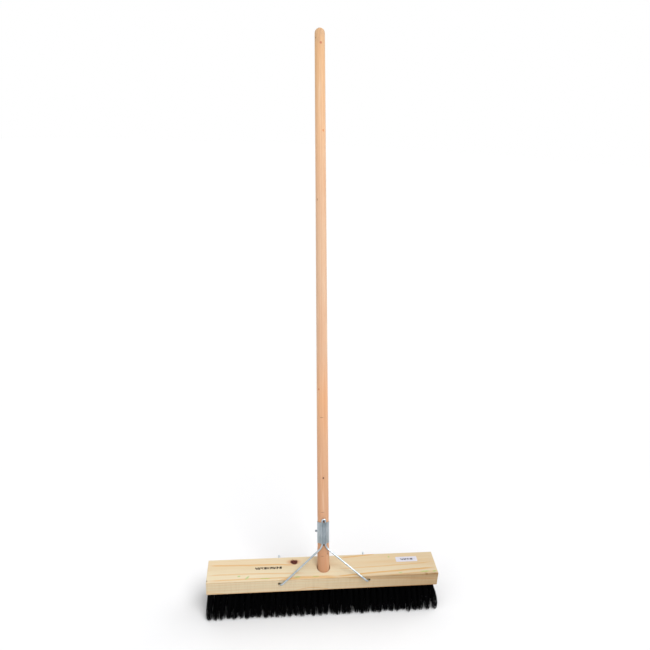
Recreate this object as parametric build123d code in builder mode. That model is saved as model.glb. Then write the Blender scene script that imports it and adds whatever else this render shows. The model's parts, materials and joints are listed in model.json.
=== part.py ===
from build123d import *
import os
from math import cos, radians, sin

# Push broom: a wooden head with five rows of staple-set tufts, a leaning wooden handle and a bent-rod stay.
# Millimetres. The origin is on the floor under the middle of the head, +X along the head, -Y the front,
# where the stay is, and +Z up. The handle leans back towards +Y.

# ---- driving dimensions -------------------------------------------------------------------------

# head
head_length = 600.0
head_width = 75.0
head_thickness = 40.0
head_edge_radius = 1.5

# tufts
bristle_length = 80.0  # from the underside of the head to the floor
tuft_columns = 38
tuft_rows = 5
tuft_pitch_x = 15.35
tuft_pitch_y = 13.5
tuft_hole_radius = 4.0
tuft_hole_depth = 13.0
tuft_root_radius = 3.8
tuft_tip_radius = 7.6
tip_pitch_x = 15.85  # the tufts fan out to these pitches at the floor
tip_pitch_y = 18.4
tip_band_height = 6.0
tip_band_width = 12.0

# flat anchors that hold the folded filaments at the bottoms of the holes
anchor_length = 7.6
anchor_thickness = 0.5
anchor_height = 2.2

# handle, measured along its own axis from the top face of the head
handle_lean = 28.5
handle_length = 1524.0
handle_insertion = 23.0
handle_radius = 15.0
butt_radius = 15.6
butt_top = 46.0
butt_taper = 8.0
butt_chamfer = 5.0
clamp_seat_radius = 14.75  # the wood is pressed in a little under the strap and the rod's loop
clamp_seat_margin = 1.3  # how far the pressed wood runs on above the loop

# angled socket in the head
socket_clearance = 0.3
socket_end_gap = 0.5
socket_mouth_radius = 17.5
socket_mouth_depth = 12.0

# stay rod
rod_radius = 2.2
rod_spacing = 8.0  # between the two legs in the clamp
rod_front = 17.35  # from the handle's axis to the plane of the two legs
rod_loop_height = 8.5  # top of the loop's centre line over the strap
rod_loop_radius = 3.9
rod_spread = 17.4  # between the legs where the long diagonals begin
rod_spread_at = 51.0
rod_knee = (96.0, -39.1, 1.4)  # just clear of the head's front edge, from the middle of its top face
rod_elbow_front = 8.8  # how far the centre line stands in front of the head
rod_tail = 20.0  # what shows behind the head
stay_half_span = 114.4
stay_hole_radius = 4.2
stay_hole_offset = 1.6  # the rods pull against the inner sides of their holes
stay_drop = 12.5  # below the top face
stay_bend_radii = (7.5, 14.0, 12.0, 12.0)  # elbow, knee, spread and clamp

# clamp strap
strap_thickness = 1.0
strap_clearance = 0.1
strap_bottom = 63.0
strap_height = 53.0
ear_gap = 9.0
ear_length = 30.0  # from the handle's axis to the free edges
ear_bolt_at = 22.6
ear_bolt_height = 23.2  # from the strap's bottom edge
channel_dip = 1.0

# clamp bolt, M6 x 25
bolt_radius = 2.95
bolt_length = 25.0
bolt_head_flats = 10.0
bolt_head_height = 4.0
bolt_hole_radius = 3.3
bolt_nut_height = 5.0
bolt_washer_radius = 6.0
bolt_washer_thickness = 1.6
nut_thread_clearance = 0.05

# stay nuts, M5
stay_nut_flats = 8.0
stay_nut_height = 4.0
stay_washer_radius = 7.0
stay_washer_hole_radius = 2.65
stay_washer_thickness = 1.2

# label on the top face
label_length = 58.0
label_width = 17.0
label_thickness = 0.2
label_place = (225.4, 14.5)

# ---- places worked out from them ----------------------------------------------------------------

head_bottom = bristle_length
head_top = head_bottom + head_thickness
lean = radians(handle_lean)
handle_top = handle_length - handle_insertion
strap_top = strap_bottom + strap_height
clamp_seat_top = strap_top + rod_loop_height + rod_radius + clamp_seat_margin
stay_height = head_top - stay_drop

# local z runs up the handle and local -y faces the front
handle_plane = Plane(origin=(0, 0, head_top), x_dir=(1, 0, 0), z_dir=(0, sin(lean), cos(lean)))
# a plane that holds the handle's axis as its y axis
axis_plane = Plane(handle_plane.origin, x_dir=(1, 0, 0), z_dir=-handle_plane.y_dir)
handle_axis = Axis(handle_plane.origin, handle_plane.z_dir)

row_centres = [(row - (tuft_rows - 1) / 2) for row in range(tuft_rows)]
column_centres = [(column - (tuft_columns - 1) / 2) for column in range(tuft_columns)]


def write_part(part, label):
    part.label = label
    export_step(part, f"parts/{label}.step")


os.makedirs("parts", exist_ok=True)

# ---- head ---------------------------------------------------------------------------------------

with BuildPart() as head_block:
    with BuildSketch(Plane.XY.offset(head_bottom)):
        Rectangle(head_length, head_width)
    extrude(amount=head_thickness)
    fillet(head_block.edges(), radius=head_edge_radius)

    # tuft holes from below
    with BuildSketch(Plane.XY.offset(head_bottom)):
        with GridLocations(tuft_pitch_x, tuft_pitch_y, tuft_columns, tuft_rows):
            Circle(tuft_hole_radius)
    extrude(amount=tuft_hole_depth, mode=Mode.SUBTRACT)

    # angled blind socket for the handle, with a wider mouth
    socket_radius = butt_radius + socket_clearance
    socket_depth = handle_insertion + socket_end_gap
    with BuildSketch(axis_plane):
        with BuildLine():
            Polyline(
                (0, -socket_depth),
                (socket_radius - butt_chamfer, -socket_depth),
                (socket_radius, butt_chamfer - socket_depth),
                (socket_radius, -socket_mouth_depth),
                (socket_mouth_radius, -socket_mouth_depth),
                (socket_mouth_radius, head_thickness),
                (0, head_thickness),
                close=True,
            )
        make_face()
    revolve(axis=handle_axis, mode=Mode.SUBTRACT)

    # the stay's two holes run straight through from front to back
    with BuildSketch(Plane.XZ):
        with GridLocations(2 * (stay_half_span + stay_hole_offset), 0, 2, 1):
            with Locations((0, stay_height)):
                Circle(stay_hole_radius)
    extrude(amount=head_width, both=True, mode=Mode.SUBTRACT)

write_part(head_block.part, "head_block")

# ---- tufts and their anchors --------------------------------------------------------------------

for number, row in enumerate(row_centres, start=1):
    root_y = row * tuft_pitch_y
    tip_y = row * tip_pitch_y

    # flared tufts, joined along the tips where their filaments mingle
    with BuildPart() as tuft_row:
        for column in column_centres:
            with BuildSketch(Plane.XY):
                with Locations((column * tip_pitch_x, tip_y)):
                    Circle(tuft_tip_radius)
            with BuildSketch(Plane.XY.offset(head_bottom)):
                with Locations((column * tuft_pitch_x, root_y)):
                    Circle(tuft_root_radius)
            loft()
        with BuildSketch(Plane.XY.offset(head_bottom)):
            with Locations((0, root_y)):
                with GridLocations(tuft_pitch_x, 0, tuft_columns, 1):
                    Circle(tuft_root_radius)
        extrude(amount=tuft_hole_depth - anchor_height)
        with BuildSketch(Plane.XY):
            with Locations((0, tip_y)):
                Rectangle((tuft_columns - 1) * tip_pitch_x, tip_band_width)
        extrude(amount=tip_band_height)

    write_part(tuft_row.part, f"tuft_row_{number}")

    with BuildPart() as anchor_row:
        with BuildSketch(Plane.XY.offset(head_bottom + tuft_hole_depth - anchor_height)):
            with Locations((0, root_y)):
                with GridLocations(tuft_pitch_x, 0, tuft_columns, 1):
                    Rectangle(anchor_length, anchor_thickness)
        extrude(amount=anchor_height)

    write_part(anchor_row.part, f"anchor_row_{number}")

# ---- handle -------------------------------------------------------------------------------------

with BuildPart() as handle:
    with BuildSketch(axis_plane):
        with BuildLine():
            outline = Polyline(
                (0, handle_top),
                (0, -handle_insertion),
                (butt_radius - butt_chamfer, -handle_insertion),
                (butt_radius, butt_chamfer - handle_insertion),
                (butt_radius, butt_top),
                (handle_radius, butt_top + butt_taper),
                (handle_radius, strap_bottom),
                (clamp_seat_radius, strap_bottom),
                (clamp_seat_radius, clamp_seat_top),
                (handle_radius, clamp_seat_top),
                (handle_radius, handle_top - handle_radius),
            )
            RadiusArc(outline @ 1, outline @ 0, -handle_radius)
        make_face()
    revolve(axis=handle_axis)

write_part(handle.part, "handle")

# ---- stay rod -----------------------------------------------------------------------------------


def on_handle(across, front, along):
    """A point given across the handle, in front of its axis and along it."""
    return handle_plane.from_local_coords((across, -front, along))


def leg_points(side):
    """One leg from the top of the loop to its end behind the head; side is 1 on the right."""
    knee_x, knee_y, knee_z = rod_knee
    return [
        on_handle(side * rod_spacing / 2, rod_front, strap_top + rod_loop_height),
        on_handle(side * rod_spacing / 2, rod_front, strap_bottom - 3),
        on_handle(side * rod_spread / 2, rod_front + 0.6, rod_spread_at),
        Vector(side * knee_x, knee_y, head_top + knee_z),
        Vector(side * stay_half_span, -head_width / 2 - rod_elbow_front, stay_height),
        Vector(side * stay_half_span, head_width / 2 + rod_tail, stay_height),
    ]


with BuildPart() as stay_wire:
    with BuildLine():
        right = leg_points(1)
        left = leg_points(-1)
        rod_path = FilletPolyline(
            *reversed(left),
            *right,
            radius=[*stay_bend_radii, rod_loop_radius, rod_loop_radius, *reversed(stay_bend_radii)],
        )
    with BuildSketch(Plane(rod_path @ 0, z_dir=rod_path % 0)):
        Circle(rod_radius)
    sweep(path=rod_path)

write_part(stay_wire.part, "stay_wire")

# ---- clamp strap --------------------------------------------------------------------------------

with BuildPart() as clamp_strap:
    inner_radius = clamp_seat_radius + strap_clearance
    rod_room = rod_radius + strap_clearance
    with BuildSketch(handle_plane.offset(strap_bottom)):
        # outside: round the handle, over the two legs of the rod, and out to the ears
        Circle(inner_radius + strap_thickness)
        with GridLocations(rod_spacing, 0, 2, 1):
            with Locations((0, -rod_front)):
                Circle(rod_room + strap_thickness)
        with Locations((0, -rod_front / 2)):
            Rectangle(rod_spacing + 2 * (rod_room + strap_thickness), rod_front)
        with Locations((0, -rod_front)):
            Rectangle(rod_spacing, 2 * (rod_room + strap_thickness - channel_dip))
        with Locations((0, ear_length / 2)):
            Rectangle(ear_gap + 2 * strap_thickness, ear_length)
        # inside: the same, one sheet thickness in
        Circle(inner_radius, mode=Mode.SUBTRACT)
        with GridLocations(rod_spacing, 0, 2, 1):
            with Locations((0, -rod_front)):
                Circle(rod_room, mode=Mode.SUBTRACT)
        with Locations((0, -rod_front / 2)):
            Rectangle(rod_spacing + 2 * rod_room, rod_front, mode=Mode.SUBTRACT)
        with Locations((0, -rod_front)):
            Rectangle(rod_spacing, 2 * (rod_room - channel_dip), mode=Mode.SUBTRACT)
        with Locations((0, ear_length / 2 + 1)):
            Rectangle(ear_gap, ear_length + 2, mode=Mode.SUBTRACT)
    extrude(amount=strap_height)

    # rounded free corners on the ears, and the bolt's holes through them
    ear_corners = clamp_strap.edges().filter_by(Axis.X).group_by(Axis(handle_axis.position, handle_plane.y_dir))[-1]
    fillet(ear_corners, radius=6)
    bolt_centre = handle_plane.from_local_coords((0, ear_bolt_at, strap_bottom + ear_bolt_height))
    bolt_plane = Plane(bolt_centre, x_dir=handle_plane.z_dir, z_dir=(-1, 0, 0))
    with BuildSketch(bolt_plane):
        Circle(bolt_hole_radius)
    extrude(amount=ear_gap, both=True, mode=Mode.SUBTRACT)

write_part(clamp_strap.part, "clamp_strap")

# ---- clamp bolt, washer and nut -----------------------------------------------------------------

ear_face = ear_gap / 2 + strap_thickness

with BuildPart() as clamp_bolt:
    with BuildSketch(bolt_plane.offset(-ear_face)):
        RegularPolygon(bolt_head_flats / 2, 6, major_radius=False)
    extrude(amount=-bolt_head_height)
    with BuildSketch(bolt_plane.offset(-ear_face)):
        Circle(bolt_radius)
    extrude(amount=bolt_length)
    chamfer(clamp_bolt.faces().sort_by(Axis.X)[0].edges(), length=0.6)

write_part(clamp_bolt.part, "clamp_bolt")

with BuildPart() as clamp_washer:
    with BuildSketch(bolt_plane.offset(ear_face)):
        Circle(bolt_washer_radius)
        Circle(bolt_hole_radius, mode=Mode.SUBTRACT)
    extrude(amount=bolt_washer_thickness)

write_part(clamp_washer.part, "clamp_washer")

with BuildPart() as clamp_nut:
    with BuildSketch(bolt_plane.offset(ear_face + bolt_washer_thickness)):
        RegularPolygon(bolt_head_flats / 2, 6, major_radius=False)
        Circle(bolt_radius + nut_thread_clearance, mode=Mode.SUBTRACT)
    extrude(amount=bolt_nut_height)

write_part(clamp_nut.part, "clamp_nut")

# ---- washers and nuts behind the head -----------------------------------------------------------

for side, name in ((-1, "left"), (1, "right")):
    back_plane = Plane((side * stay_half_span, head_width / 2, stay_height), x_dir=(1, 0, 0), z_dir=(0, 1, 0))

    with BuildPart() as stay_washer:
        with BuildSketch(back_plane):
            Circle(stay_washer_radius)
            Circle(stay_washer_hole_radius, mode=Mode.SUBTRACT)
        extrude(amount=stay_washer_thickness)

    write_part(stay_washer.part, f"stay_washer_{name}")

    with BuildPart() as stay_nut:
        with BuildSketch(back_plane.offset(stay_washer_thickness)):
            RegularPolygon(stay_nut_flats / 2, 6, major_radius=False)
            Circle(rod_radius + nut_thread_clearance, mode=Mode.SUBTRACT)
        extrude(amount=stay_nut_height)

    write_part(stay_nut.part, f"stay_nut_{name}")

# ---- label --------------------------------------------------------------------------------------

with BuildPart() as price_label:
    with BuildSketch(Plane.XY.offset(head_top)):
        with Locations(label_place):
            RectangleRounded(label_length, label_width, 2)
    extrude(amount=label_thickness)

write_part(price_label.part, "price_label")
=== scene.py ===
import json
from math import atan2, cos, pi, radians, sin, tau

import bmesh
import bpy
import numpy as np
from mathutils import Euler, Matrix, Vector


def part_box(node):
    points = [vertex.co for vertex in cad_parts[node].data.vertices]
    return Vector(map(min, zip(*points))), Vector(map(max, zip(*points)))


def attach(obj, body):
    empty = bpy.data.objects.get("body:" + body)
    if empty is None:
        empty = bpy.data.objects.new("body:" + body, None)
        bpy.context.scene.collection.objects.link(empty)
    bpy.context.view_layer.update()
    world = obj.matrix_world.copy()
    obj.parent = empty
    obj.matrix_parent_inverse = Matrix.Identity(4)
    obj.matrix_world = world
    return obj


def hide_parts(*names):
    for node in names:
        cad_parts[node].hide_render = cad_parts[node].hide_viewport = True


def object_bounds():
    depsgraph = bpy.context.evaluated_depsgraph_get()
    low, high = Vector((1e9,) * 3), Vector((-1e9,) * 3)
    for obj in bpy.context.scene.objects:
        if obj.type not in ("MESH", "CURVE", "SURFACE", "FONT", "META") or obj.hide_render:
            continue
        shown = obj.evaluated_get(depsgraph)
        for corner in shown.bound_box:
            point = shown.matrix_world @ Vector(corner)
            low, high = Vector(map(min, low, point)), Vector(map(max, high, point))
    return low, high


# Push broom: the looks. Metres, in the CAD model's own frame: +X along the head, -Y the front, +Z up.

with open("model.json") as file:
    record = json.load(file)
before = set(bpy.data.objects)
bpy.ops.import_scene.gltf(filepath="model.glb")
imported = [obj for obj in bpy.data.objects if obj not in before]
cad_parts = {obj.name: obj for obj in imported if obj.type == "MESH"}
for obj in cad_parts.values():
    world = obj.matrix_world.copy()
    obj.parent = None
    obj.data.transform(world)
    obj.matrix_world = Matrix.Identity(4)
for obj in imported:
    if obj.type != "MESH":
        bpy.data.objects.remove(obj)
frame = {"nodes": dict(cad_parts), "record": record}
cad_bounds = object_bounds()

mm = 0.001

# ---- places that the frame gives ----------------------------------------------------------------

head_low, head_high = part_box("head_block")
head_middle = (head_low + head_high) / 2
head_top_middle = Vector((head_middle.x, head_middle.y, head_high.z))
grip = next(mount for mount in frame["record"]["mounts"] if mount["name"] == "handle_grip")
handle_lean = atan2(grip["axis"][1], grip["axis"][2])
handle_radius = grip["dims"]["r_mm"] * mm
handle_length = (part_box("handle")[1].z - head_high.z) / cos(handle_lean)

# ---- tufts --------------------------------------------------------------------------------------

tuft_rows = 5
tuft_columns = 38
tuft_filaments = 92
filament_radius = 0.36 * mm
root_radius = 3.5 * mm
root_depth = 7 * mm  # how far up in the holes the filaments start
tip_radius = 7.6 * mm  # of the CAD tufts, which gives where their tips are
anchor_half_length = 3.8 * mm
tip_half_width = 7.4 * mm  # along the head
tip_half_depth = 8.6 * mm  # across it
tuft_sizes = (0.86, 1.08)  # the smallest and largest tuft against those
tuft_tip_jitter = 1.0 * mm
filament_tip_jitter = 0.9 * mm
filament_bow = 1.3 * mm
filament_taper = 0.82  # a tip's thickness against its root's
filament_shares = (0.0, 0.14, 0.34, 0.58, 0.8, 1.0)  # where its rings are, from the hole's mouth down
tuft_bulge = 1.1 * mm
tip_outward = 1.1  # the rows spread by this much more than the CAD tufts
end_share = 0.86  # the tufts past this share of the half length lean out at the ends
end_outward = (3.5 * mm, 7.5 * mm)  # how far the last tufts on the left and right lean out
tip_raggedness = 1.2 * mm
tip_rounding = 3.5 * mm  # a tuft's outer filaments end up to this much higher
stray_share = 0.02
stray_reach = 1.5  # strays reach this many times as far out
stray_lift = (1 * mm, 7 * mm)  # and end this much higher
filament_lift = 0.2 * mm  # keeps the tips off the floor
tip_clip = (4 * mm, 7 * mm)  # how far past the CAD tufts the tips may reach on the left and right

# ---- fasteners ----------------------------------------------------------------------------------

bolt_head_flats = 10 * mm
bolt_head_height = 4 * mm
bolt_thread = (2.5 * mm, 2.95 * mm, 1.0 * mm)  # root radius, crest radius and pitch
stay_nut_flats = 8 * mm
stay_thread = (2.22 * mm, 2.5 * mm, 0.8 * mm)
nut_countersink = 0.45 * mm
chamfer_share = 0.96  # a hexagon's chamfer circle against its flats
chamfer_slope = 0.58
washer_rounding = 0.25 * mm
clamp_washer_bore = 3.3 * mm
stay_washer_bore = 2.65 * mm
nut_gap = 0.03 * mm  # between a nut's bore and the thread's crests

# ---- stage --------------------------------------------------------------------------------------

random_seed = 41
floor_radius = 14.0
floor_drop = 0.3 * mm  # the floor lies this far under the tips
camera_place = (-0.15186, -1.10466, 1.14895)  # from the middle of the head's top face
camera_turn = (-6.512, 22.533, 2.696)  # heading, tilt down and roll, in degrees
camera_lens = 31.015
lights = (  # name, azimuth, elevation, strength, softness
    ("key", 40, 61, 1.32, 30),
    ("fill", -55, 34, 0.5, 60),
    ("rim", 108, 30, 0.7, 50),
    ("front", 3, 12, 0.13, 40),
)

# ---- growth rings in the wood, in metres --------------------------------------------------------

ring_centre = (0.018, -0.03)  # the head's: across and up
ring_gap = 0.0085
handle_ring_centre = (0.012, -0.034)  # the handle's, from its axis
handle_ring_gap = 0.0042

# ---- marks on the wood, in mm -------------------------------------------------------------------

knot_place = (-77.0, 19.9)  # from the middle of the head's top face
knot_size = (9.6, 8.4)
top_grain = (  # dark growth lines: x from and to, y at the start, middle and end, half width, strength
    (-306, -60, 18.7, 14.6, 12.4, 3.4, 0.8),
    (-306, -40, -13.2, -14.2, -19.0, 2.7, 0.62),
    (-306, 45, -31.6, -30.0, -31.4, 3.0, 0.7),
    (-120, 42, -36.5, -33.6, -37.0, 3.6, 0.85),
    (18, 306, -35.0, -24.6, -17.4, 3.2, 0.9),
    (30, 306, -8.6, -5.4, 3.2, 2.3, 0.6),
    (48, 150, 28.6, 31.8, 38.4, 2.8, 0.9),
    (-306, -120, 29.5, 31.0, 33.0, 1.6, 0.3),
    (100, 306, 8.0, 10.0, 14.5, 1.6, 0.3),
    (-40, 140, -21.0, -17.0, -16.0, 1.4, 0.25),
    (160, 306, -37.0, -33.0, -28.6, 2.4, 0.6),
)
front_grain = (  # the same on the front face, with z in place of y
    (48, 306, 117.5, 110.5, 101.5, 1.9, 0.85),
    (-306, -250, 88.5, 85.4, 81.0, 1.7, 0.75),
    (-78, 18, 80.5, 89.4, 80.5, 1.5, 0.8),
    (-270, 300, 81.6, 81.0, 81.4, 1.3, 0.7),
    (-306, 60, 113.0, 112.0, 113.5, 1.3, 0.25),
    (-200, 306, 97.0, 95.0, 92.0, 1.2, 0.2),
)
crayon_strokes = (  # x, y, length, width, turn in degrees
    (-218.5, -20.0, 11, 6, 8),
    (-197.5, -25.5, 20, 7, 48),
    (-152.0, -30.3, 36, 4.4, -2),
    (-70.0, -29.6, 24, 5.0, 4),
    (-22.0, -30.4, 24, 4.2, 0),
    (200.0, -30.0, 14, 4.0, 0),
    (265.5, -28.9, 34, 6.4, 0),
    (291.5, -29.4, 15, 7.0, 8),
    (179.2, 24.6, 9, 7, 80),
)
stamp_place = (-142.6, 3.0)
stamp_size = (70.2, 7.2)
handle_marks = (  # along the handle, across it, half length, half width, kind
    (1487.0, 1.0, 1.6, 1.6, "dark"),
    (1467.0, -12.5, 4.0, 1.6, "dark"),
    (1449.0, 1.4, 5.5, 4.5, "knot"),
    (1188.0, 6.6, 5.0, 3.6, "orange"),
    (988.0, -10.9, 5.0, 1.4, "dark"),
    (463.0, -10.3, 4.0, 2.4, "knot"),
    (388.0, -3.8, 1.2, 7.0, "dark"),
    # the darkest marks are painted shadow in the gaps where the stay and its strap meet the handle
    (230.0, 0.0, 3.4, 2.8, "painted_shadow"),
    (142.0, -3.0, 1.0, 7.0, "dark"),
    (120.5, 0.0, 4.0, 2.4, "painted_shadow"),
    (59.5, 0.0, 3.4, 3.2, "painted_shadow"),
    (31.0, -4.0, 1.1, 6.0, "dark"),
    (36.0, 9.5, 2.4, 3.0, "dark"),
)


def srgb(red, green, blue):
    """A display colour, 0 to 255, as the linear colour that shaders take."""
    parts = [value / 255 for value in (red, green, blue)]
    return (*[p / 12.92 if p <= 0.04045 else ((p + 0.055) / 1.055) ** 2.4 for p in parts], 1.0)


# ---- node materials -----------------------------------------------------------------------------


class Value:
    """A number that nodes work out. Plain arithmetic on it adds the nodes."""

    def __init__(self, look, socket):
        self.look = look
        self.socket = socket

    def __add__(self, other):
        return self.look.math("ADD", self, other)

    def __sub__(self, other):
        return self.look.math("SUBTRACT", self, other)

    def __mul__(self, other):
        return self.look.math("MULTIPLY", self, other)

    def __truediv__(self, other):
        return self.look.math("DIVIDE", self, other)

    def __pow__(self, other):
        return self.look.math("POWER", self, other)

    __radd__ = __add__


class Look:
    """A node material on one shader, with short calls for the nodes that this object needs."""

    def __init__(self, name, **settings):
        self.material = bpy.data.materials.new(name)
        self.material.use_nodes = True
        self.tree = self.material.node_tree
        self.shader = self.tree.nodes["Principled BSDF"]
        for socket, value in settings.items():
            self.shader.inputs[socket.replace("_", " ")].default_value = value
        self.place = self.node("ShaderNodeTexCoord").outputs["Object"]
        self.normal = None

    def node(self, kind, inputs=(), **options):
        made = self.tree.nodes.new(kind)
        for option, value in options.items():
            setattr(made, option, value)
        for socket, value in dict(inputs).items():
            self.feed(made.inputs[socket], value)
        return made

    def feed(self, socket, value):
        value = value.socket if isinstance(value, Value) else value
        if isinstance(value, bpy.types.NodeSocket):
            self.tree.links.new(value, socket)
        else:
            socket.default_value = value

    def math(self, operation, first, second=0.0):
        return Value(self, self.node("ShaderNodeMath", {0: first, 1: second}, operation=operation).outputs[0])

    def local(self, origin, turn=(0, 0, 0), unit=(1, 1, 1)):
        """The place measured from an origin, along turned axes, in units of each axis's own size."""
        given = {"Vector": self.place, "Location": origin, "Rotation": turn, "Scale": unit}
        return self.node("ShaderNodeMapping", given, vector_type="TEXTURE").outputs[0]

    def split(self, vector):
        return [Value(self, part) for part in self.node("ShaderNodeSeparateXYZ", {0: vector}).outputs]

    def noise(self, per_metre, detail=3.0, roughness=0.5, start=0.0):
        """Smooth noise from 0 to 1, with so many waves to the metre along each axis."""
        given = {"Vector": self.place, "Scale": per_metre, "Location": (start, start * 1.7, start * 0.6)}
        stretched = self.node("ShaderNodeMapping", given).outputs[0]
        given = {"Vector": stretched, "Scale": 1.0, "Detail": detail, "Roughness": roughness}
        return Value(self, self.node("ShaderNodeTexNoise", given).outputs[0])

    def between(self, value, low, high):
        """0 at low, 1 at high, with a smooth change between them. Low may be the larger."""
        given = {"Value": value, "From Min": low, "From Max": high}
        return Value(self, self.node("ShaderNodeMapRange", given, interpolation_type="SMOOTHSTEP").outputs[0])

    def blob(self, centre, size, turn=0.0, core=0.35, ragged=0.0):
        """1 in the core of an ellipsoid and 0 outside it. Its outline moves in where ragged is over 0."""
        inside = self.local(centre, (0, 0, turn), size)
        reach = self.node("ShaderNodeVectorMath", {0: inside}, operation="LENGTH").outputs["Value"]
        return self.between(Value(self, reach) + ragged, 1.0, core)

    def mix(self, share, first, second, blend="MIX"):
        given = {0: share, 6: first, 7: second}
        return self.node("ShaderNodeMix", given, data_type="RGBA", blend_type=blend).outputs[2]

    def ramp(self, value, *stops):
        made = self.node("ShaderNodeValToRGB", {0: value})
        elements = made.color_ramp.elements
        while len(elements) < len(stops):
            elements.new(0.5)
        for element, (at, colour) in zip(elements, stops):
            element.position = at
            element.color = colour
        return made.outputs[0]

    def bump(self, height, depth):
        """Raises the surface by depth metres where height is 1."""
        given = {"Height": height, "Distance": depth, "Strength": 1.0}
        if self.normal:
            given["Normal"] = self.normal
        self.normal = self.node("ShaderNodeBump", given).outputs[0]

    def finish(self, colour, roughness=None):
        self.feed(self.shader.inputs["Base Color"], colour)
        if roughness is not None:
            self.feed(self.shader.inputs["Roughness"], roughness)
        if self.normal:
            self.feed(self.shader.inputs["Normal"], self.normal)
        return self.material


def growth_rings(look, across, deep, pith, gap):
    """How far through its growth ring each point is, 0 to 1, and how strong the dark wood is there."""
    wander_across = (look.noise((2.1, 3, 3), 2, 0.45) - 0.5) * 0.012
    wander_deep = (look.noise((1.6, 4, 4), 2, 0.5, start=5.0) - 0.5) * 0.010
    radius = ((across - pith[0] + wander_across) ** 2 + (deep - pith[1] + wander_deep) ** 2) ** 0.5
    strength = look.noise((0.8, 60, 60), 1, 0.5, start=9.0)
    return look.math("FRACT", radius / gap), strength


def grain_line(look, along, across, line, wobble):
    """One dark growth line on a face: it fades in slowly on its low side and ends sharply on its high side."""
    first, last, at_first, at_middle, at_last, half_width, strength = line
    curve = 2 * (at_first + at_last - 2 * at_middle)
    share = (along / mm - first) / (last - first)
    line_place = (share * curve + (at_last - at_first - curve)) * share + at_first
    off = across / mm - line_place + wobble
    low_side = look.between(off, -1.5 * half_width, 0.3 * half_width)
    high_side = look.between(off, 1.1 * half_width, 0.4 * half_width)
    ends = look.between(share, 0.0, 0.12) * look.between(share, 1.0, 0.86)
    return low_side * high_side * ends * strength


def printed_blocks(look, centre, size, cell, filled, gap_every):
    """A generic printed row of small blocks: 1 where there is ink. Sizes are in metres."""
    corner = (centre[0] - size[0] / 2, centre[1] - size[1] / 2, centre[2])
    along, up, _ = look.split(look.local(corner, unit=(cell[0], cell[1], 1)))
    column, line = look.math("FLOOR", along), look.math("FLOOR", up)
    spot = look.node("ShaderNodeCombineXYZ", {0: column, 1: line}).outputs[0]
    random = look.node("ShaderNodeTexWhiteNoise", {"Vector": spot}, noise_dimensions="2D").outputs["Value"]
    ink = look.math("LESS_THAN", Value(look, random), filled)
    for value, count in ((along, size[0] / cell[0]), (up, size[1] / cell[1])):
        ink = ink * look.math("GREATER_THAN", value, 0.0) * look.math("LESS_THAN", value, count)
    if gap_every:
        place_in_group = look.math("MODULO", column, gap_every)
        ink = ink * look.math("LESS_THAN", place_in_group, gap_every - 1.5)
    return ink


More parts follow.
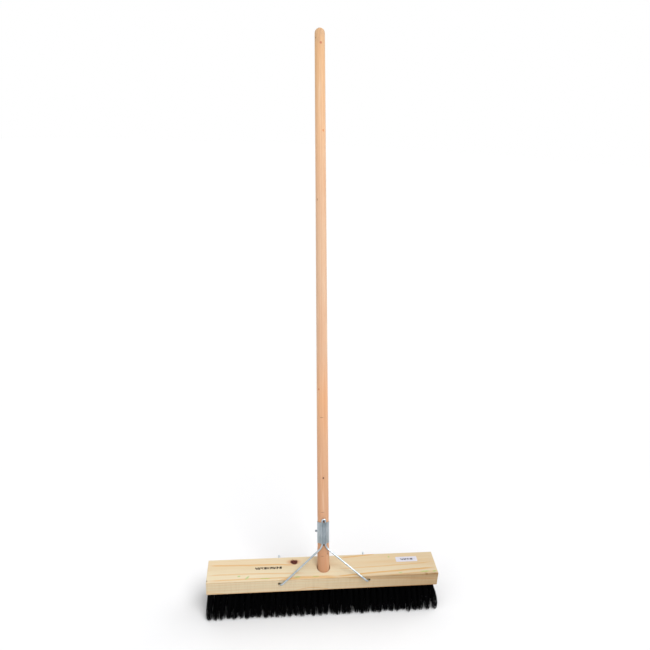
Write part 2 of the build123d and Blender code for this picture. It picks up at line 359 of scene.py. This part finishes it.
def head_pine():
    look = Look("head_pine", Specular_IOR_Level=0.2)
    x, y, z = look.split(look.place)
    top = head_high.z
    knot = Vector((knot_place[0] * mm, knot_place[1] * mm, top))
    on_top = look.between(z, top - 0.7 * mm, top - 0.25 * mm)
    sides = look.between(look.math("ABSOLUTE", y), head_high.y - 1.2 * mm, head_high.y - 0.2 * mm)
    front = look.between(y, head_low.y + 1.0 * mm, head_low.y + 0.2 * mm)

    # faint growth rings right through the block, bulging round the knot
    near_knot = look.blob(knot, (45 * mm, 26 * mm, 60 * mm), core=0.0)
    through, strength = growth_rings(look, y + near_knot * 0.02, z, ring_centre, ring_gap)
    rings = look.between(through, 0.45, 0.9) * look.between(through, 1.0, 0.93)
    rings = rings * look.between(strength, 0.25, 0.75)
    early_tone = look.noise((3, 40, 40), 3, 0.55, start=2.0)
    colour = look.mix(early_tone, srgb(223, 208, 174), srgb(236, 221, 192))
    ends = look.between(look.math("ABSOLUTE", x), head_high.x - 1.0 * mm, head_high.x - 0.2 * mm)
    colour = look.mix(rings * (0.18 + ends * 0.5 + sides * 0.1), colour, srgb(222, 176, 116))

    # the lines that show on the top and front faces
    wobble = (look.noise((22, 30, 30), 3, 0.55, start=12.0) - 0.5) * 3.0
    late = rings * 0.2
    for line in top_grain:
        late = look.math("MAXIMUM", late, grain_line(look, x, y + near_knot * 0.004, line, wobble) * on_top)
    for line in front_grain:
        late = look.math("MAXIMUM", late, grain_line(look, x, z, line, wobble * 0.6) * front)
    broken = 0.55 + look.noise((26, 300, 300), 3, 0.6, start=14.0) * 0.75
    colour = look.mix(late * broken, colour, srgb(222, 168, 98))

    # fine fibres, resin flecks and a few grey-brown streaks
    fibre = look.noise((14, 1100, 1100), 4, 0.6)
    colour = look.mix(look.between(fibre, 0.35, 0.75) * 0.26, colour, srgb(206, 176, 132))
    streak = look.noise((5, 160, 160), 3, 0.6, start=7.0)
    colour = look.mix(look.between(streak, 0.58, 0.8) * 0.34, colour, srgb(208, 178, 136))
    fleck = look.noise((160, 1500, 900), 2, 0.5, start=3.0)
    colour = look.mix(look.between(fleck, 0.68, 0.8) * 0.45, colour, srgb(176, 130, 84))

    # saw marks across the front and back faces
    saw = look.noise((420, 30, 16), 3, 0.6, start=4.0)
    colour = look.mix(sides * look.between(saw, 0.45, 0.8) * 0.3, colour, srgb(190, 162, 122))

    # a painted highlight as an orange band along the lower arris, a browner band along the upper arris, older
    # wood towards the right, and painted shade over the whole front face
    # painted highlight: an orange band where the lower arris catches the light
    lower_arris_highlight = look.between(z, head_low.z + 3.2 * mm, head_low.z + 0.8 * mm)
    colour = look.mix(lower_arris_highlight * sides * 0.6, colour, srgb(226, 166, 108))
    upper = look.between(z, top - 5.5 * mm, top - 1.0 * mm)
    colour = look.mix(upper * sides * 0.4, colour, srgb(196, 154, 98))
    aged = look.between(x, -0.12, 0.36)
    # painted shade: the front face is darkened as a whole, and the older wood towards the right is darker still
    # on it
    colour = look.mix(aged * (0.4 + front * 0.5) + front * 0.17, colour, (0.62, 0.52, 0.42, 1), "MULTIPLY")
    stained = look.between(z, top - 18 * mm, top - 2 * mm) * front + look.between(y, -0.031, -0.0365) * on_top
    stained = stained * look.between(x, 0.03, 0.26) * look.between(streak, 0.2, 0.6)
    colour = look.mix(stained * 0.55, colour, srgb(140, 106, 62))

    # knot: a reddish halo, a dark core and darker cracks
    halo = look.blob(knot, (24 * mm, 12.5 * mm, 30 * mm), core=0.3)
    colour = look.mix(halo * 0.6, colour, srgb(200, 132, 88))
    bark = look.noise((260, 420, 200), 4, 0.65, start=1.0)
    outline = (look.noise((110, 130, 60), 2, 0.5, start=15.0) - 0.5) * 1.5
    core = look.blob(knot, (knot_size[0] * mm, knot_size[1] * mm, 30 * mm), -0.25, 0.66, outline)
    core_colour = look.ramp(bark, (0.3, srgb(46, 20, 18)), (0.55, srgb(96, 46, 38)), (0.75, srgb(140, 80, 58)))
    colour = look.mix(core, colour, core_colour)

    # green crayon on the top face, broken up where it skipped over the grain
    skips = look.between(look.noise((180, 900, 900), 3, 0.6, start=6.0), 0.3, 0.52)
    for at_x, at_y, length, width, turn in crayon_strokes:
        size = (length * mm / 2, width * mm / 2, 3 * mm)
        stroke = look.blob((at_x * mm, at_y * mm, top), size, radians(turn), core=0.3)
        colour = look.mix(stroke * skips * 0.66, colour, srgb(142, 192, 96))

    # a generic stamped row of blocks
    centre = (stamp_place[0] * mm, stamp_place[1] * mm, top)
    size = (stamp_size[0] * mm, stamp_size[1] * mm)
    ink = printed_blocks(look, centre, size, (1.3 * mm, 2.4 * mm), 0.8, 6)
    worn = look.between(look.noise((700, 900, 900), 3, 0.6, start=8.0), 0.15, 0.4)
    colour = look.mix(ink * on_top * worn * 0.96, colour, srgb(30, 22, 20))

    # dents and rubbed wood along the front edge near the right end
    rubbed = look.blob((0.255, head_low.y, top), (60 * mm, 5 * mm, 5 * mm), core=0.4)
    dents = look.between(look.noise((90, 60, 60), 3, 0.6, start=11.0), 0.48, 0.62)
    colour = look.mix(rubbed * dents * 0.8, colour, srgb(132, 92, 44))
    corner = look.blob((head_low.x, -0.031, top), (5 * mm, 4 * mm, 3 * mm), core=0.3)
    colour = look.mix(corner * 0.7, colour, srgb(120, 84, 50))

    look.bump(fibre, 0.12 * mm)
    look.bump(sides * saw, 0.22 * mm)
    look.bump(late, -0.08 * mm)
    look.bump(core * bark, -0.5 * mm)
    look.bump(rubbed * dents, -0.6 * mm)
    roughness = 0.58 + fibre * 0.12 + late * -0.08
    return look.finish(colour, roughness)


def handle_wood():
    look = Look("handle_wood", Specular_IOR_Level=0.35)
    look.place = look.local((0, 0, head_high.z), (-handle_lean, 0, 0))
    across, front, along = look.split(look.place)
    share = along / handle_length

    # long growth rings cut by the round stock, wandering slowly along it
    sway = (look.noise((4, 4, 1.3), 2, 0.5) - 0.5) * 0.012
    sway_deep = (look.noise((4, 4, 1.1), 2, 0.5, start=4.0) - 0.5) * 0.012
    ring_x, ring_y = handle_ring_centre
    radius = ((across - ring_x + sway) ** 2 + (front - ring_y + sway_deep) ** 2) ** 0.5
    through = look.math("FRACT", radius / handle_ring_gap)
    late = look.between(through, 0.4, 0.88) * look.between(through, 1.0, 0.92)

    ground = look.ramp(
        share,
        (0.0, srgb(196, 146, 110)),
        (0.09, srgb(208, 160, 126)),
        (0.2, srgb(220, 173, 136)),
        (0.29, srgb(234, 180, 136)),
        (0.38, srgb(226, 188, 156)),
        (0.5, srgb(231, 196, 164)),
        (0.65, srgb(235, 197, 162)),
        (0.8, srgb(241, 196, 152)),
        (0.95, srgb(238, 194, 144)),
        (1.0, srgb(226, 188, 140)),
    )
    colour = look.mix(late * 0.3, ground, srgb(206, 142, 98))
    flush = look.noise((30, 30, 3.5), 3, 0.55, start=2.0)
    colour = look.mix(look.between(flush, 0.35, 0.7) * 0.32, colour, srgb(226, 168, 126))
    # painted sheen: paler patches laid at random along the wood, standing in for the white reflection on the
    # round stock
    pale = look.noise((60, 60, 5), 3, 0.55, start=6.0)
    colour = look.mix(look.between(pale, 0.55, 0.75) * 0.4, colour, srgb(246, 220, 190))
    fibre = look.noise((1300, 1300, 16), 4, 0.6)
    colour = look.mix(look.between(fibre, 0.4, 0.75) * 0.22, colour, srgb(190, 132, 96))
    grime = look.noise((220, 220, 60), 3, 0.6, start=8.0)
    near_top = look.between(share, 0.945, 0.985)
    colour = look.mix(near_top * look.between(grime, 0.4, 0.7) * 0.45, colour, srgb(196, 160, 130))

    # knots, resin and small dark marks on the front, and painted shadow in the gaps where the stay and its strap
    # meet the handle
    inks = {
        "dark": (srgb(140, 96, 72), 0.7),
        "knot": (srgb(196, 104, 70), 0.8),
        "orange": (srgb(222, 130, 62), 0.7),
        # the last kind is painted shadow
        "painted_shadow": (srgb(64, 30, 22), 0.95),
    }
    for at, side, half_length, half_width, kind in handle_marks:
        depth = -(max(handle_radius**2 - (side * mm) ** 2, 0) ** 0.5)
        mark = look.blob((side * mm, depth, at * mm), (half_width * mm, 5 * mm, half_length * mm), core=0.4)
        ink, amount = inks[kind]
        colour = look.mix(mark * amount, colour, ink)

    look.bump(fibre, 0.05 * mm)
    look.bump(late, -0.04 * mm)
    return look.finish(colour, 0.42 + flush * 0.14)


def metal(name, dark, light, roughness, patches_per_metre, lines_per_metre, scratch, spangle=0.0, underside=0.0):
    """Zinc on steel: soft patches of tone, lines from drawing or rolling, fine wear, and undersides that are
    rougher and carry painted shade.
    """
    look = Look(name, Metallic=1.0)
    patches = look.noise((patches_per_metre,) * 3, 4, 0.6)
    colour = look.mix(look.between(patches, 0.3, 0.7), dark, light)
    grain = look.noise(lines_per_metre, 3, 0.6, start=3.0)
    if spangle:
        cells = look.node("ShaderNodeTexVoronoi", {"Vector": look.place, "Scale": 130.0})
        flakes = look.node("ShaderNodeSeparateColor", {0: cells.outputs["Color"]}).outputs[0]
        colour = look.mix(Value(look, flakes) * spangle, colour, light)
    white_rust = look.between(look.noise((900,) * 3, 3, 0.6, start=6.0), 0.62, 0.75)
    colour = look.mix(white_rust * 0.35, colour, srgb(206, 210, 210))
    # painted shade: surfaces that face downwards are darkened towards dark grey, as much as underside asks
    facing = look.node("ShaderNodeNewGeometry").outputs["Normal"]
    under = look.between(look.split(facing)[2], 0.25, -0.45) * underside
    colour = look.mix(under, colour, srgb(66, 70, 74))
    look.bump(grain, scratch)
    return look.finish(colour, roughness + patches * 0.14 + white_rust * 0.15 + under * 0.2)


def bristle_filament():
    look = Look("bristle_filament", Specular_IOR_Level=0.03)
    tone = look.noise((1400, 1400, 30), 2, 0.6)
    colour = look.mix(tone, (0.0002, 0.0002, 0.0003, 1), (0.0011, 0.0012, 0.0017, 1))
    dust = look.between(look.noise((500, 500, 180), 3, 0.6, start=5.0), 0.66, 0.8)
    colour = look.mix(dust * 0.12, colour, srgb(34, 34, 40))
    return look.finish(colour, 0.5 + tone * 0.2)


def label_paper():
    look = Look("label_paper", Specular_IOR_Level=0.4)
    low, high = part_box("price_label")
    middle = (low + high) / 2
    width = high.x - low.x
    tone = look.noise((90, 90, 90), 3, 0.6)
    colour = look.mix(tone, srgb(206, 204, 215), srgb(221, 219, 228))
    on_top = look.between(look.split(look.place)[2], low.z + 0.05 * mm, low.z + 0.15 * mm)
    centre = (middle.x + 0.02 * width, middle.y, high.z)
    rows = printed_blocks(look, centre, (0.6 * width, 5.4 * mm), (1.45 * mm, 1.8 * mm), 0.85, 6)
    centre = (middle.x + 0.36 * width, middle.y + 1.2 * mm, high.z)
    price = printed_blocks(look, centre, (0.12 * width, 1.4 * mm), (0.8 * mm, 1.4 * mm), 0.8, 0)
    colour = look.mix(rows * on_top * 0.85, colour, srgb(48, 46, 58))
    colour = look.mix(price * on_top * 0.5, colour, srgb(70, 68, 84))
    look.bump(tone, 0.03 * mm)
    return look.finish(colour, 0.45 + tone * 0.1)


def studio_floor():
    """Pale paper near the object that runs out to plain white, so that no horizon shows."""
    look = Look("studio_floor", Specular_IOR_Level=0.1, Emission_Color=(1, 1, 1, 1))
    x, y, _ = look.split(look.place)
    away = ((x / 0.5) ** 2 + (y / 0.3) ** 2) ** 0.5
    white = look.between(away, 0.9, 3.2)
    tone = look.noise((6, 6, 6), 2, 0.5)
    near = look.mix(tone, (0.9, 0.9, 0.91, 1), (0.93, 0.93, 0.935, 1))
    look.feed(look.shader.inputs["Emission Strength"], white)
    return look.finish(look.mix(white, near, (0, 0, 0, 1)), 0.85 + tone * 0.05)


steel_light, steel_dark = srgb(206, 214, 220), srgb(160, 170, 178)
materials = {
    "head_wood": head_pine(),
    "handle_wood": handle_wood(),
    "galvanised_rod": metal(
        "galvanised_rod",
        srgb(176, 188, 196),
        srgb(218, 226, 232),
        0.22,
        60.0,
        (700, 700, 700),
        0.03 * mm,
        underside=0.75,
    ),
    "galvanised_sheet": metal(
        "galvanised_sheet", srgb(152, 164, 171), srgb(182, 192, 198), 0.24, 45.0, (900, 900, 60), 0.03 * mm, 0.12
    ),
    "zinc_fasteners": metal("zinc_fasteners", steel_dark, steel_light, 0.26, 220.0, (800, 800, 800), 0.02 * mm),
    "anchor_steel": metal("anchor_steel", steel_dark, steel_light, 0.34, 300.0, (900, 900, 900), 0.02 * mm),
    "bristle": bristle_filament(),
    "label": label_paper(),
}

# ---- carried-over CAD nodes get their materials -------------------------------------------------

for subpart in frame["record"]["subparts"]:
    node = frame["nodes"][subpart["node"]]
    node.data.materials.clear()
    node.data.materials.append(materials[subpart["material_slot"]])

# ---- pieces made here ---------------------------------------------------------------------------


def add_piece(name, vertices, faces, slot, *replaced, sharp=35.0, tidy=True):
    """A mesh piece on the one body, smooth except at edges sharper than the given angle."""
    mesh = bpy.data.meshes.new(name)
    mesh.from_pydata(vertices, [], faces)
    if tidy:
        shape = bmesh.new()
        shape.from_mesh(mesh)
        bmesh.ops.remove_doubles(shape, verts=shape.verts, dist=1e-7)
        bmesh.ops.recalc_face_normals(shape, faces=shape.faces)
        shape.to_mesh(mesh)
        shape.free()
    mesh.shade_smooth()
    mesh.set_sharp_from_angle(angle=radians(sharp))
    mesh.materials.append(materials[slot])
    piece = bpy.data.objects.new(name, mesh)
    bpy.context.scene.collection.objects.link(piece)
    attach(piece, "root")
    if replaced:
        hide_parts(*replaced)
    return piece


def tuft_row(number, random):
    """One row of tufts, each a bundle of loose filaments that fans out towards the floor."""
    anchor_low, anchor_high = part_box(f"anchor_row_{number}")
    tuft_low, tuft_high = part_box(f"tuft_row_{number}")
    outer_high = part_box(f"tuft_row_{tuft_rows}")[1]
    outer_anchor_low, outer_anchor_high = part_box(f"anchor_row_{tuft_rows}")
    fan_x = (tuft_high.x - tip_radius) / (anchor_high.x - anchor_half_length)
    fan_y = (outer_high.y - tip_radius) / ((outer_anchor_low.y + outer_anchor_high.y) / 2)
    row_y = (anchor_low.y + anchor_high.y) / 2
    outer_x = anchor_high.x - anchor_half_length

    columns = np.repeat(np.linspace(-outer_x, outer_x, tuft_columns), tuft_filaments)
    count = len(columns)
    angle = random.uniform(0, tau, count)
    reach = np.sqrt(random.uniform(0, 1, count))
    aim_x, aim_y = reach * np.cos(angle), reach * np.sin(angle)
    root = np.stack(
        [columns + aim_x * root_radius, row_y + aim_y * root_radius, np.full(count, head_low.z + root_depth)], 1
    )

    # where each tip lies, with strays and with tufts that lean a little to one side
    lean = np.repeat(random.normal(0, tuft_tip_jitter, (tuft_columns, 2)), tuft_filaments, 0)
    size = np.repeat(random.uniform(*tuft_sizes, tuft_columns), tuft_filaments)
    stray = np.where(random.uniform(0, 1, count) < stray_share, stray_reach, 1.0)
    tip_x = columns * fan_x + lean[:, 0] + aim_x * tip_half_width * size * stray
    tip_x -= end_outward[0] * np.clip((-columns / outer_x - end_share) / (1 - end_share), 0, 1) ** 1.5
    tip_x += end_outward[1] * np.clip((columns / outer_x - end_share) / (1 - end_share), 0, 1) ** 1.5
    tip_y = row_y * fan_y * tip_outward + lean[:, 1] + aim_y * tip_half_depth * size * stray
    tip_x += random.normal(0, filament_tip_jitter, count)
    tip_y += random.normal(0, filament_tip_jitter, count)
    tip_z = np.abs(random.normal(0, tip_raggedness, count))
    tip_z += reach**6 * tip_rounding * random.uniform(0, 1, count)
    tip_z += np.where(stray > 1, random.uniform(*stray_lift, count), 0)
    tip = np.stack([tip_x, tip_y, tip_z + filament_lift], 1)
    tip[:, 0] = np.clip(tip[:, 0], tuft_low.x - tip_clip[0], tuft_high.x + tip_clip[1])

    # each filament leaves its hole straight down, spreads quickly and then bows in to its tip
    mouth = root.copy()
    mouth[:, 2] = head_low.z
    share = np.array(filament_shares)[None, :, None]
    spread = 1 - (1 - share) ** 1.7
    line = mouth[:, None] + (tip - mouth)[:, None] * np.concatenate([spread, spread, share], 2)
    bulge = np.stack([aim_x, aim_y], 1) * tuft_bulge + random.normal(0, filament_bow, (count, 2))
    line[:, :, :2] += bulge[:, None] * 4 * share * (1 - share)
    line = np.concatenate([root[:, None], line], 1)

    turn = random.uniform(0, tau, count)[:, None] + np.arange(3)[None] * tau / 3
    around = np.stack([np.cos(turn), np.sin(turn), np.zeros_like(turn)], 2)
    filament_rings = line.shape[1]
    thickness = filament_radius * np.linspace(1.0, filament_taper, filament_rings)[None, :, None, None]
    points = (line[:, :, None] + around[:, None] * thickness).reshape(-1, 3)

    base = np.arange(count)[:, None] * filament_rings * 3
    faces = []
    for ring in range(filament_rings - 1):
        for corner in range(3):
            following = (corner + 1) % 3
            above, below = ring * 3, ring * 3 + 3
            faces.append(base + np.array([above + corner, below + corner, below + following, above + following]))
    sides = np.stack(faces, 1).reshape(-1, 4).tolist()
    last = (filament_rings - 1) * 3
    caps = (base + np.array([0, 1, 2])).tolist() + (base + np.array([last + 2, last + 1, last])).tolist()
    name = f"tuft_filaments_{number}"
    add_piece(name, points, sides + caps, "bristle", f"tuft_row_{number}", sharp=80.0, tidy=False)


around_ring = np.linspace(0, tau, 60, endpoint=False)


def ring(radius, along):
    """A ring of points round the local z axis. Radius and height may change round it."""
    radius = np.broadcast_to(radius, around_ring.shape)
    along = np.broadcast_to(along, around_ring.shape)
    return np.stack([radius * np.cos(around_ring), radius * np.sin(around_ring), along], 1)


def hexagon(flats):
    """The radius of a hexagon, its chamfer's radius, and how far the chamfer drops at each point."""
    radius = flats / 2 / np.cos((around_ring + pi / 6) % (pi / 3) - pi / 6)
    chamfer = flats / 2 * chamfer_share
    return radius, chamfer, np.maximum(radius - chamfer, 0) * chamfer_slope


def thread_rings(thread, start, end):
    """Rings of a helical thread between two heights."""
    root, crest, pitch = thread
    rings = []
    for along in np.arange(start, end, pitch / 8):
        phase = (along / pitch - around_ring / tau) % 1
        rise = np.clip((1 - np.abs(2 * phase - 1)) * 1.4 - 0.2, 0, 1)
        rings.append(ring(root + (crest - root) * rise, along))
    return rings


def skin(name, rings, closed, origin, direction, slot, *replaced):
    """A piece through the rings, standing on the origin along a direction."""
    count = len(around_ring)
    turn = Vector(direction).to_track_quat("Z", "Y").to_matrix()
    points = np.concatenate(rings) @ np.array(turn).T + np.array(origin)
    faces = []
    for first in range(len(rings) if closed else len(rings) - 1):
        near, far = first * count, (first + 1) % len(rings) * count
        for spot in range(count):
            beside = (spot + 1) % count
            faces.append([near + spot, near + beside, far + beside, far + spot])
    return add_piece(name, points, faces, slot, *replaced)


def nut_rings(flats, height, bore):
    radius, chamfer, drop = hexagon(flats)
    mouth = bore + nut_countersink
    return [
        ring(bore, nut_countersink),
        ring(mouth, 0),
        ring(chamfer, 0),
        ring(radius, drop),
        ring(radius, height - drop),
        ring(chamfer, height),
        ring(mouth, height),
        ring(bore, height - nut_countersink),
    ]


def washer_rings(outer, bore, height):
    edge = washer_rounding
    return [
        ring(bore, edge * 0.5),
        ring(bore + edge * 0.5, 0),
        ring(outer - edge, 0),
        ring(outer - edge * 0.3, edge * 0.3),
        ring(outer, edge),
        ring(outer, height - edge),
        ring(outer - edge * 0.3, height - edge * 0.3),
        ring(outer - edge, height),
        ring(bore + edge * 0.5, height),
        ring(bore, height - edge * 0.5),
    ]


def clamp_fasteners():
    """The clamp's hexagon bolt, its washer and its nut, along -X."""
    towards = (-1, 0, 0)
    low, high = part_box("clamp_bolt")
    middle = (low + high) / 2
    radius, chamfer, drop = hexagon(bolt_head_flats)
    root, crest, _ = bolt_thread
    length = high.x - low.x
    rings = [ring(0, 0.15 * mm), ring(chamfer * 0.8, 0.15 * mm), ring(chamfer * 0.86, 0), ring(chamfer, 0)]
    rings += [ring(radius, drop), ring(radius, bolt_head_height), ring(crest, bolt_head_height)]
    rings += [ring(crest, bolt_head_height + 5 * mm), ring(root, bolt_head_height + 5.6 * mm)]
    rings += thread_rings(bolt_thread, bolt_head_height + 6 * mm, length - 0.7 * mm)
    rings += [ring(root * 0.88, length - 0.1 * mm), ring(0, length - 0.1 * mm)]
    origin = (high.x, middle.y, middle.z)
    skin("clamp_bolt_threaded", rings, False, origin, towards, "zinc_fasteners", "clamp_bolt")

    low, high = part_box("clamp_washer")
    rings = washer_rings((high.z - low.z) / 2, clamp_washer_bore, high.x - low.x)
    origin = (high.x, middle.y, middle.z)
    skin("clamp_washer_rounded", rings, True, origin, towards, "zinc_fasteners", "clamp_washer")

    low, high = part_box("clamp_nut")
    rings = nut_rings(bolt_head_flats, high.x - low.x, crest + nut_gap)
    origin = (high.x, middle.y, middle.z)
    skin("clamp_nut_chamfered", rings, True, origin, towards, "zinc_fasteners", "clamp_nut")


def stay_fasteners(side):
    """The washer, the nut and the rod's thread behind the head on one side."""
    towards = (0, 1, 0)
    low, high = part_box(f"stay_washer_{side}")
    middle = (low + high) / 2
    origin = (middle.x, low.y, middle.z)
    rings = washer_rings((high.x - low.x) / 2, stay_washer_bore, high.y - low.y)
    skin(f"stay_washer_{side}_rounded", rings, True, origin, towards, "zinc_fasteners", f"stay_washer_{side}")

    low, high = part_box(f"stay_nut_{side}")
    origin = (middle.x, low.y, middle.z)
    rings = nut_rings(stay_nut_flats, high.y - low.y, stay_thread[1] + nut_gap)
    skin(f"stay_nut_{side}_chamfered", rings, True, origin, towards, "zinc_fasteners", f"stay_nut_{side}")

    rod_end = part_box("stay_wire")[1].y
    start = head_high.y - 4 * mm
    length = rod_end - start
    root = stay_thread[0]
    rings = [ring(root, 0), *thread_rings(stay_thread, 0.4 * mm, length - 0.5 * mm)]
    rings += [ring(root, length - 0.3 * mm), ring(root * 0.85, length + 0.04 * mm), ring(0, length + 0.04 * mm)]
    rings.insert(0, ring(0, 0))
    skin(f"stay_thread_{side}", rings, False, (middle.x, start, middle.z), towards, "galvanised_rod")


random = np.random.default_rng(random_seed)
for row_number in range(1, tuft_rows + 1):
    tuft_row(row_number, random)
clamp_fasteners()
for side_name in ("left", "right"):
    stay_fasteners(side_name)

# ---- stage, light and camera --------------------------------------------------------------------


def add_floor():
    """A large pale disc just under the tips."""
    mesh = bpy.data.meshes.new("floor")
    height = cad_bounds[0].z - floor_drop
    turns = np.linspace(0, tau, 97)[:-1]
    rim = [(floor_radius * cos(turn), floor_radius * sin(turn), height) for turn in turns]
    mesh.from_pydata(rim, [], [tuple(range(len(rim)))])
    mesh.materials.append(studio_floor())
    floor = bpy.data.objects.new("floor", mesh)
    bpy.context.scene.collection.objects.link(floor)


def add_world():
    """White behind the object, and a softer room with a darker foot for what the metal reflects."""
    world = bpy.data.worlds.new("studio")
    bpy.context.scene.world = world
    world.use_nodes = True
    tree = world.node_tree
    tree.nodes.clear()
    output = tree.nodes.new("ShaderNodeOutputWorld")
    choice = tree.nodes.new("ShaderNodeMixShader")
    path = tree.nodes.new("ShaderNodeLightPath")
    white = tree.nodes.new("ShaderNodeBackground")
    white.inputs["Color"].default_value = (1, 1, 1, 1)
    white.inputs["Strength"].default_value = 1.0
    room = tree.nodes.new("ShaderNodeBackground")
    room.inputs["Strength"].default_value = 0.62
    place = tree.nodes.new("ShaderNodeTexCoord")
    split = tree.nodes.new("ShaderNodeSeparateXYZ")
    shade = tree.nodes.new("ShaderNodeValToRGB")
    shade.color_ramp.elements[0].position = 0.0
    shade.color_ramp.elements[0].color = (0.42, 0.44, 0.47, 1)
    shade.color_ramp.elements[1].position = 0.75
    shade.color_ramp.elements[1].color = (1.0, 1.0, 1.0, 1)
    tree.links.new(place.outputs["Generated"], split.inputs[0])
    tree.links.new(split.outputs["Z"], shade.inputs[0])
    tree.links.new(shade.outputs[0], room.inputs["Color"])
    tree.links.new(path.outputs["Is Camera Ray"], choice.inputs[0])
    tree.links.new(room.outputs[0], choice.inputs[1])
    tree.links.new(white.outputs[0], choice.inputs[2])
    tree.links.new(choice.outputs[0], output.inputs[0])


def add_light(name, azimuth, elevation, strength, softness):
    """A large soft light far away. Azimuth 0 is straight in front of the object, and 90 is on its right."""
    lamp = bpy.data.lights.new(name, "SUN")
    lamp.energy = strength
    lamp.angle = radians(softness)
    light = bpy.data.objects.new(name, lamp)
    light.rotation_euler = Euler((radians(90 - elevation), 0, radians(azimuth)))
    bpy.context.scene.collection.objects.link(light)


def add_camera():
    """The camera stands a little left of the middle and looks down at the head."""
    lens = bpy.data.cameras.new("camera")
    lens.sensor_width = 36.0
    lens.lens = camera_lens
    camera = bpy.data.objects.new("camera", lens)
    heading, down, roll = camera_turn
    turn = Matrix.Rotation(radians(heading), 3, "Z") @ Matrix.Rotation(radians(90 - down), 3, "X")
    turn = turn @ Matrix.Rotation(radians(roll), 3, "Z")
    camera.rotation_euler = turn.to_euler()
    camera.location = head_top_middle + Vector(camera_place)
    bpy.context.scene.collection.objects.link(camera)
    bpy.context.scene.camera = camera


add_floor()
add_world()
for light_settings in lights:
    add_light(*light_settings)
add_camera()
bpy.context.scene.view_settings.view_transform = "Standard"
